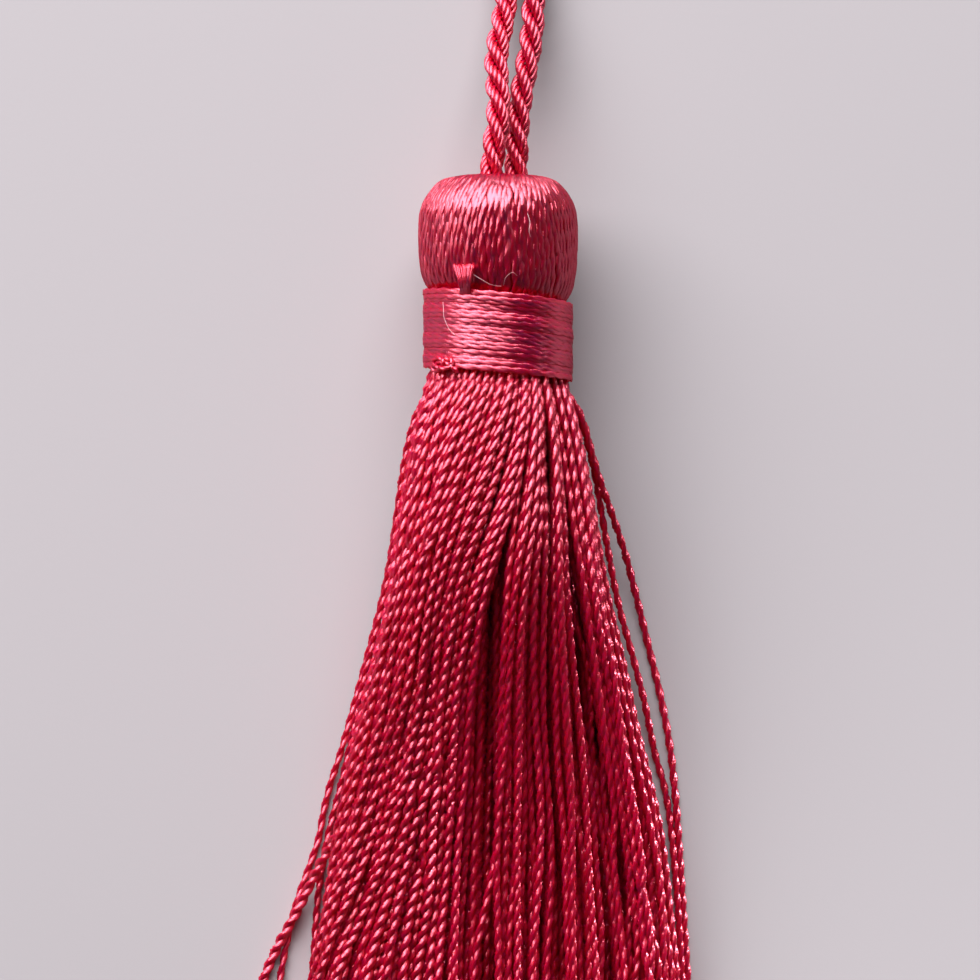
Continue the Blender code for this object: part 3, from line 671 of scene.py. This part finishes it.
def skirt_pieces(thread, skirt, material, chance):
    """The skirt's threads, as a few pieces of each kind."""
    diameter = thread.diameter / MM
    pitch_mm = thread.pitch / MM
    length_mm = skirt.length / MM
    paths = skirt_stations(thread, skirt, chance)
    stations = BINDING_BOTTOM_Y - paths[0, :, 1]
    plump = swollen(paths, stations, chance)
    paths = settled(paths, diameter * plump)
    kinds = kinds_of(paths, diameter)
    shares = 1 - chance.uniform(0, skirt.unevenness / skirt.length, len(paths))

    strays = STRAY_THREADS.values()
    paths = np.concatenate([paths, stray_paths(paths[0, :, 1])])
    plump = np.concatenate([plump, [[thickness] * len(stations) for thickness, _ in strays]])
    kinds = np.concatenate([kinds, ["fine"] * len(strays)])
    shares = np.concatenate([shares, np.array([points[-1][0] for _, points in strays]) * MM / skirt.length])
    count = len(paths)
    # The thicker a thread is, the shorter its pitch.
    pitch = chance.uniform(*PITCH_SPREAD, count) * pitch_mm * np.clip(1.45 - 0.45 * plump[:, -1], 0.8, 1.1)
    pitch, phase = pitch[:, None], chance.uniform(0, TAU, (count, 1))
    tints = chance.normal(0.45, skirt.dye_spread, count)

    pieces = []
    for kind, (rings_a_turn, section, fullness, painted_fill_light) in SKIRT_KINDS.items():
        members = np.flatnonzero(kinds == kind)
        rings = round(length_mm / pitch_mm * rings_a_turn)
        most = TRIANGLES_A_PIECE // (rings * len(section) * 2)
        offsets = filament_offsets(diameter / 2, pitch_mm, section, thread.filament_angle)
        for part, group in enumerate(np.array_split(members, max(1, math.ceil(len(members) / most)))):
            lines, radius = [], []
            for i in group:
                reach = stations[0] + (length_mm * shares[i] - stations[0]) * np.linspace(0, 1, rings)
                lines.append(on_curve(paths[i], np.interp(reach, stations, np.arange(len(stations)))))
                radius.append(diameter / 2 * np.interp(reach, stations, plump[i]))
            lines, radius = np.array(lines), np.array(radius) * fullness
            turns = twist(lines, pitch[group], phase[group])
            leans = uneven(lines, thread.filament_spread, chance)
            # Threads under others take a lighter dye: painted light on the shade between threads.
            pieces.append(thread_mesh(
                f"skirt_{kind}_{part}", lines, radius, section, tints[group] + painted_fill_light, material,
                turns=turns, offsets=offsets, leans=leans,
            ))  # fmt: skip
    return pieces


# Head


def round_axis(radius, angle, y, slope):
    """Points round the tassel's axis, at angles from its top towards +X, moved along it by slope across."""
    x = radius * np.sin(angle)
    return np.stack([x, y + slope * x, AXIS_HEIGHT + radius * np.cos(angle)], axis=-1)


def head_piece(thread, head, material, chance):
    """The threads that lie from the crown's dimple over the shoulder and into the binding."""
    diameter = head.diameter / MM
    pitch_mm = head.pitch / MM
    rows = np.array(HEAD_SECTIONS)
    line = np.stack([rows[:, 1], -rows[:, 0], np.zeros(len(rows))], axis=1)
    line = evenly(line, pitch_mm / PRESSED_RINGS)
    inward = np.gradient(line, axis=0)[:, (1, 0, 2)] * (1, -1, 1)
    inward /= np.linalg.norm(inward, axis=1, keepdims=True)
    line += inward * diameter / 2 * head.flatness
    count = head.threads
    start = (np.arange(count) + chance.uniform(-0.08, 0.08, count)) / count * TAU
    crowded = 1 - smooth_share(line[:, 0], HEAD_CROWDED, HEAD_FREEING)
    sunk = (HEAD_SINKING * (np.arange(count) % 2) + chance.uniform(0, HEAD_SINKING, count))[:, None] * crowded
    down = np.clip(-line[:, 1], 0, None)
    contrast = np.exp(HEAD_LEAN_CONTRAST * np.sin(start[:, None]))
    lean = head.lean * contrast * np.clip(down / HEAD_LENGTH, 0, 1.2)
    wave = chance.normal(0, HEAD_SWAY, (count, 1)) * np.sin(down * 0.7 + chance.uniform(0, TAU, (count, 1)))
    angle = start[:, None] - lean + wave
    reach = np.maximum(line[:, 0] - 0.3 * sunk, 0.5)
    y = CROWN_Y + line[:, 1] - sunk
    paths = round_axis(reach, angle, y, BINDING_SLOPE * np.clip(y / BINDING_TOP_Y, 0, 1))
    out = paths - np.array([0.0, CROWN_Y - HEAD_MIDDLE, AXIS_HEIGHT])
    out[..., 1] *= 1.2
    paths[..., 2] = np.maximum(paths[..., 2], diameter / 2)
    pitch = chance.uniform(*PITCH_SPREAD, (count, 1)) * pitch_mm
    turns = twist(paths, pitch, chance.uniform(0, TAU, (count, 1)))
    radius = diameter / 2 * (1.0 - HEAD_THINNING * crowded)
    offsets = filament_offsets(diameter / 2, pitch_mm, PRESSED_TWO_PLY, thread.filament_angle)
    # Painted shade: the head's threads take a deeper dye than the rest, standing in for the shade between pressed
    # threads.
    tints = chance.normal(0.1, 0.06, count)
    leans = uneven(paths, HEAD_SPREAD * thread.filament_spread, chance) - HEAD_DRAW
    return thread_mesh(
        "head_threads", paths, radius, PRESSED_TWO_PLY, tints, material, out, turns, offsets, leans, head.flatness
    )


# Binding


def binding_piece(thread, binding, material, chance):
    """The thread wound round the neck from its top to its bottom, with turns that wander a little."""
    diameter = binding.diameter / MM
    pitch_mm = binding.pitch / MM
    radius = BINDING_RADIUS - diameter / 2 * binding.flatness
    steps = round(TAU * radius / pitch_mm * PRESSED_RINGS)
    t = np.arange(steps * binding.turns + 1) / steps
    travel = BINDING_TOP_Y - BINDING_BOTTOM_Y - diameter
    y = BINDING_TOP_Y - diameter / 2 - travel * t / binding.turns
    y += waves(t, BINDING_WANDER)
    out_to = radius + waves(t, BINDING_BULGE)
    angle = -TAU * BINDING_START + TAU * t
    path = round_axis(out_to, angle, y, BINDING_SLOPE)[None]
    out = (path - np.array([0.0, 0.0, AXIS_HEIGHT])) * np.array([1.0, 0.0, 1.0])
    turns = twist(path, pitch_mm, 0.3)
    offsets = filament_offsets(diameter / 2, pitch_mm, PRESSED_TWO_PLY, thread.filament_angle)
    leans = uneven(path, thread.filament_spread, chance)
    return thread_mesh(
        "binding_turns", path, diameter / 2, PRESSED_TWO_PLY, 0.5, material, out, turns, offsets, leans,
        binding.flatness,
    )  # fmt: skip


def on_neck(x, y, clear):
    """A point that stands clear, in millimetres, of the head or the binding, at a place seen from above."""
    down, radii = np.array(HEAD_SECTIONS[HEAD_DIMPLE_ROWS:]).T
    wound = (y - BINDING_SLOPE * x) < BINDING_TOP_Y
    radius = BINDING_RADIUS if wound else np.interp(CROWN_Y - y, down, radii)
    return (x, y, AXIS_HEIGHT + math.sqrt(max(radius**2 - x**2, 0.0)) + clear)


def tuft_piece(ends, material, chance):
    """The binding's cut end: its yarns stand out from under the top turn and fan apart, cut off straight."""
    count, rings = ends.yarns, TUFT_RINGS
    spread = np.linspace(-1, 1, count) + chance.normal(0, 0.06, count)
    paths = np.empty((count, rings, 3))
    for i, side in enumerate(spread):
        longer = (0, 0, 0, chance.normal(0, TUFT_UNEVENNESS))
        points = [
            on_neck(x + fan * side, y + more, clear + layer * (i % 3))
            for (x, y, clear, fan, layer), more in zip(TUFT_STATIONS, longer)
        ]
        paths[i] = through(points, rings)
    radius = ends.yarn_diameter / MM / 2
    offsets = filament_offsets(radius, TUFT_PITCH, ROUND_YARN, TUFT_FILAMENT_ANGLE)
    tints = chance.normal(0.7, 0.1, count)
    return thread_mesh("binding_tuft", paths, radius, ROUND_YARN, tints, material, offsets=offsets)


def knot_piece(thread, ends, material):
    """The small knot that holds the binding's other end, at its lower edge."""
    path = evenly([on_neck(*spot) for spot in KNOT_ROUTE], KNOT_STEP)[None]
    pitch = ends.knot_pitch / MM
    radius = ends.knot_diameter / MM / 2
    turns = twist(path, pitch, 0.0)
    offsets = filament_offsets(radius, pitch, TWO_PLY_FINE, thread.filament_angle)
    return thread_mesh("binding_knot", path, radius, TWO_PLY_FINE, 0.6, material, turns=turns, offsets=offsets)


def fibre_piece(fibres, material):
    """Single fibres that have worked loose and lie over the head and the binding."""
    paths = np.array([through([on_neck(*spot) for spot in route], FIBRE_RINGS) for route in FIBRES])
    return thread_mesh("loose_fibres", paths, fibres.diameter / MM / 2, ROUND_HAIR, 0.5, material)


# Hanging cord


def cord_piece(cord, material, chance):
    """Three plies laid S, each of single yarns twisted Z, with both ends tucked into the crown."""
    centre = evenly((CORD_TUCKS[0], *CORD_ROUTE, CORD_TUCKS[1]), CORD_STEP)
    normal = carried_normals(centre)
    direction, lengths = along(centre[None])
    side = np.cross(direction[0], normal)
    # Plies that touch each other, and fill the cord's diameter. The yarns do the same in a ply.
    ply_radius = cord.diameter / MM / 2 / (1 + 2 / math.sqrt(3))
    ply_out = ply_radius * 2 / math.sqrt(3)
    packed = math.sin(math.pi / cord.yarns)
    yarn_radius = ply_radius * packed / (1 + packed)
    paths, outward = [], []
    for ply in range(PLIES):
        turn = -TAU * lengths[0] * MM / cord.lay + TAU * ply / PLIES
        away = np.cos(turn)[:, None] * normal + np.sin(turn)[:, None] * side
        ply_path = centre + ply_out * away
        first, second = square_to(along(ply_path[None])[0][0], away)
        for yarn in range(cord.yarns):
            spin = TAU * lengths[0] * MM / cord.yarn_pitch + TAU * yarn / cord.yarns + ply
            spoke = np.cos(spin)[:, None] * first + np.sin(spin)[:, None] * second
            paths.append(ply_path + (ply_radius - yarn_radius) * spoke)
            outward.append(spoke)
    tints = chance.normal(0.5, 0.06, len(paths))
    return thread_mesh(
        "cord_plies", np.array(paths), yarn_radius * YARN_FULLNESS, ROUND_YARN, tints, material, np.array(outward)
    )


# Sizes and colours


def number(name, description, default, least):
    return IntProperty(name=name, description=description, default=default, min=least)


def share(name, description, default):
    return FloatProperty(name=name, description=description, default=default, min=0.0, subtype="FACTOR")


def turn(name, description, degrees):
    return FloatProperty(name=name, description=description, default=math.radians(degrees), subtype="ANGLE")


def size(name, description, metres):
    return FloatProperty(name=name, description=description, default=metres, min=0.0, unit="LENGTH", precision=5)


def colour(name, description, code):
    return FloatVectorProperty(name=name, description=description, default=linear(code)[:3], subtype="COLOR")


class ThreadSizes(bpy.types.PropertyGroup):
    """The two-ply thread that the tassel is made of."""

    diameter: size("Diameter", "Across both plies", 0.58 * MM)
    pitch: size("Pitch", "Along the thread for one turn of its plies", 2.45 * MM)
    filament_angle: turn("Filament angle", "Between the filaments and the thread", 8)
    filament_spread: share("Filament spread", "How much the filaments' lean changes along the thread", 0.4)


class SilkLook(bpy.types.PropertyGroup):
    """The dye and the sheen of the silk."""

    deep: colour("Deep colour", "Dye where the thread is darkest", "#8A021E")
    bright: colour("Bright colour", "Dye where the thread is lightest", "#B10638")
    sheen: colour("Sheen", "Colour of the light that the filaments throw back", "#FF7A8C")
    roughness: share("Roughness", "Of the filaments", 0.285)
    anisotropy: share("Anisotropy", "How much the sheen spreads across the filaments", 0.965)
    gloss: share("Gloss", "Level of the sheen", 1.0)
    ior: FloatProperty(name="IOR", description="Of the filaments, raised for their stacked faces", default=2.6)
    soaking: share("Soaking", "Share of the light that soaks through the silk", 0.85)
    filament_relief: share("Filament relief", "Strength of the fine lines along the thread", 0.5)


class SkirtSizes(bpy.types.PropertyGroup):
    """The skirt of loose threads."""

    threads: number("Threads", "In the skirt", 312, 20)
    locks: number("Locks", "Groups that the threads gather in", 44, 1)
    gathering: share("Gathering", "How far threads are drawn to the middle of their lock", 0.26)
    wander: share("Wander", "How far threads stray round the skirt, in radians", 0.06)
    astray: share("Astray", "Share of the threads that cross others", 0.14)
    hollowness: share("Hollowness", "Where 0.5 is as many threads inside as near the surface", 0.45)
    length: size("Length", "From the binding to the tips", 65.9 * MM)
    unevenness: size("Unevenness", "Of the cut ends", 1.8 * MM)
    dye_spread: share("Dye spread", "Difference of dye between threads", 0.09)


class HeadSizes(bpy.types.PropertyGroup):
    """The head, where the threads fold over the cord."""

    threads: number("Threads", "Round the head", 96, 12)
    diameter: size("Thread diameter", "Of a thread pressed against its neighbours", 0.62 * MM)
    pitch: size("Pitch", "Along the drawn thread for one turn of its plies", 2.7 * MM)
    flatness: share("Flatness", "Height of a pressed thread as a share of its width", 0.26)
    lean: turn("Lean", "Turn of a thread round the head", -8)


class BindingSizes(bpy.types.PropertyGroup):
    """The thread wound round the neck."""

    turns: number("Turns", "Of the thread round the neck", 20, 2)
    diameter: size("Thread diameter", "Of a thread pressed against its neighbours", 0.46 * MM)
    pitch: size("Pitch", "Along the drawn thread for one turn of its plies", 2.4 * MM)
    flatness: share("Flatness", "Height of a pressed thread as a share of its width", 0.17)


class EndSizes(bpy.types.PropertyGroup):
    """The tuft and the knot at the binding's two ends."""

    yarns: number("Yarns", "In the tuft", 30, 3)
    yarn_diameter: size("Yarn diameter", "Of a yarn in the tuft", 0.13 * MM)
    knot_diameter: size("Knot thread diameter", "Of the thread in the knot, drawn tight", 0.34 * MM)
    knot_pitch: size("Knot thread pitch", "Along the drawn thread for one turn of its plies", 1.2 * MM)


class FibreSizes(bpy.types.PropertyGroup):
    """Fibres that have worked loose."""

    diameter: size("Diameter", "Of a few filaments together", 0.03 * MM)
    colour: colour("Colour", "Faint dye, seen through single filaments", "#F0A8B4")


class CordSizes(bpy.types.PropertyGroup):
    """The hanging cord."""

    diameter: size("Diameter", "Across all three plies", 1.75 * MM)
    lay: size("Lay", "Along the cord for one turn of its plies", 5.9 * MM)
    yarns: number("Yarns", "In each ply", 5, 3)
    yarn_pitch: size("Yarn pitch", "Along a ply for one turn of its yarns", 1.9 * MM)


class StageSizes(bpy.types.PropertyGroup):
    """The board, the light and the camera."""

    camera_height: size("Camera height", "Above the board", 0.19)
    view_width: size("View width", "Across the picture at the tassel's middle", 68.6 * MM)
    window_power: FloatProperty(name="Power", description="Of the window", default=44.0, unit="POWER")
    room_level: share("Room level", "Brightness of the room", 0.03)
    board: colour("Board", "Colour of the board", "#A19B9F")


class TasselSettings(bpy.types.PropertyGroup):
    """Every size and colour of the tassel."""

    thread: PointerProperty(type=ThreadSizes)
    silk: PointerProperty(type=SilkLook)
    skirt: PointerProperty(type=SkirtSizes)
    head: PointerProperty(type=HeadSizes)
    binding: PointerProperty(type=BindingSizes)
    ends: PointerProperty(type=EndSizes)
    fibres: PointerProperty(type=FibreSizes)
    cord: PointerProperty(type=CordSizes)
    stage: PointerProperty(type=StageSizes)


# Operators


def supplies(piece, seed):
    """The tassel's settings, the silk for one of its pieces, and random numbers that start from seed."""
    tassel = bpy.context.scene.tassel
    return tassel, filament_silk(f"reeled_silk_{piece}", tassel.silk), np.random.default_rng(seed)


class TASSEL_OT_stage(bpy.types.Operator):
    """Set the board, the window light and the camera straight above the tassel"""

    bl_idname = "tassel.stage"
    bl_label = "Stage"

    def execute(self, context):
        stage = context.scene.tassel.stage
        bpy.ops.object.select_all(action="DESELECT")
        bpy.ops.mesh.primitive_plane_add(size=1.6, location=(0.0, 0.0, 0.0))
        board = context.object
        board.name = "board"
        board.data.materials.append(matt_board("uncoated_mount_board", stage.board))

        for name, spot, aim, (width, height), beam, power in LIGHTS:
            bpy.ops.object.light_add(type="AREA", location=spot)
            window = context.object
            window.name = name
            window.data.shape = "RECTANGLE"
            window.data.size, window.data.size_y = width, height
            window.data.energy = stage.window_power * power
            window.data.spread = math.radians(beam)
            window.rotation_euler = (Vector(aim) - Vector(spot)).to_track_quat("-Z", "Y").to_euler()

        room = bpy.data.worlds.new("room")
        room.use_nodes = True
        room.node_tree.nodes["Background"].inputs["Color"].default_value = linear("#F4EEFF")
        room.node_tree.nodes["Background"].inputs["Strength"].default_value = stage.room_level
        context.scene.world = room

        bpy.ops.object.camera_add(location=(*VIEW_MIDDLE, stage.camera_height), rotation=(0, 0, 0))
        camera = context.object
        camera.name = "camera"
        camera.data.sensor_width = SENSOR_WIDTH
        camera.data.lens = SENSOR_WIDTH * (stage.camera_height - AXIS_HEIGHT * MM) / stage.view_width
        camera.data.clip_start = 0.01
        context.scene.camera = camera
        context.scene.view_settings.view_transform = "Standard"
        return {"FINISHED"}


class TASSEL_OT_hanging_cord(bpy.types.Operator):
    """Lay the three-ply hanging cord along its loop"""

    bl_idname = "tassel.hanging_cord"
    bl_label = "Hanging cord"

    def execute(self, context):
        tassel, silk, chance = supplies("cord", 21)
        piece = cord_piece(tassel.cord, silk, chance)
        place(piece, "cord_thread", "hanging_cord")
        route = evenly(CORD_ROUTE, 0.2)
        length = float(along(route[None])[1][0, -1]) * MM
        return {"FINISHED"}


class TASSEL_OT_skirt(bpy.types.Operator):
    """Hang the skirt's threads from the binding and lay them on the table"""

    bl_idname = "tassel.skirt"
    bl_label = "Skirt"

    def execute(self, context):
        tassel, silk, chance = supplies("skirt", 5)
        for piece in skirt_pieces(tassel.thread, tassel.skirt, silk, chance):
            place(piece, "bundle_thread", "thread_bundle")
        return {"FINISHED"}


class TASSEL_OT_head(bpy.types.Operator):
    """Fold the threads over the crown and down to the binding"""

    bl_idname = "tassel.head"
    bl_label = "Head"

    def execute(self, context):
        tassel, silk, chance = supplies("head", 8)
        place(head_piece(tassel.thread, tassel.head, silk, chance), "bundle_thread", "thread_bundle")
        return {"FINISHED"}


class TASSEL_OT_binding(bpy.types.Operator):
    """Wind the binding round the neck"""

    bl_idname = "tassel.binding"
    bl_label = "Binding"

    def execute(self, context):
        tassel, silk, chance = supplies("binding", 13)
        place(binding_piece(tassel.thread, tassel.binding, silk, chance), "binding_thread", "binding")
        return {"FINISHED"}


class TASSEL_OT_binding_ends(bpy.types.Operator):
    """Add the tuft and the knot of the binding's ends"""

    bl_idname = "tassel.binding_ends"
    bl_label = "Binding ends"

    def execute(self, context):
        tassel, silk, chance = supplies("ends", 17)
        place(tuft_piece(tassel.ends, silk, chance), "binding_thread", "binding")
        place(knot_piece(tassel.thread, tassel.ends, silk), "binding_thread", "binding")
        return {"FINISHED"}


class TASSEL_OT_loose_fibres(bpy.types.Operator):
    """Lay loose fibres over the head and the binding"""

    bl_idname = "tassel.loose_fibres"
    bl_label = "Loose fibres"

    def execute(self, context):
        fibres = context.scene.tassel.fibres
        filament = single_filament("silk_filament", fibres.colour)
        place(fibre_piece(fibres, filament), "bundle_thread", "thread_bundle")
        return {"FINISHED"}


class TASSEL_PT_sidebar(bpy.types.Panel):
    """Lists the tassel's pieces"""

    bl_idname = "TASSEL_PT_sidebar"
    bl_label = "Silk tassel"
    bl_space_type = "VIEW_3D"
    bl_region_type = "UI"
    bl_category = "Tassel"

    def draw(self, context):
        for operator in OPERATORS:
            self.layout.operator(operator.bl_idname)


OPERATORS = (
    TASSEL_OT_stage, TASSEL_OT_hanging_cord, TASSEL_OT_skirt, TASSEL_OT_head, TASSEL_OT_binding,
    TASSEL_OT_binding_ends, TASSEL_OT_loose_fibres,
)  # fmt: skip
GROUPS = (
    ThreadSizes, SilkLook, SkirtSizes, HeadSizes, BindingSizes, EndSizes, FibreSizes, CordSizes, StageSizes,
    TasselSettings,
)  # fmt: skip


def register():
    for group in (*GROUPS, *OPERATORS, TASSEL_PT_sidebar):
        bpy.utils.register_class(group)
    bpy.types.Scene.tassel = PointerProperty(type=TasselSettings)


def unregister():
    del bpy.types.Scene.tassel
    for group in reversed((*GROUPS, *OPERATORS, TASSEL_PT_sidebar)):
        bpy.utils.unregister_class(group)


def main():
    register()
    bpy.ops.tassel.stage()
    bpy.ops.tassel.hanging_cord()
    bpy.ops.tassel.skirt()
    bpy.ops.tassel.head()
    bpy.ops.tassel.binding()
    bpy.ops.tassel.binding_ends()
    bpy.ops.tassel.loose_fibres()


if __name__ == "__main__":
    main()
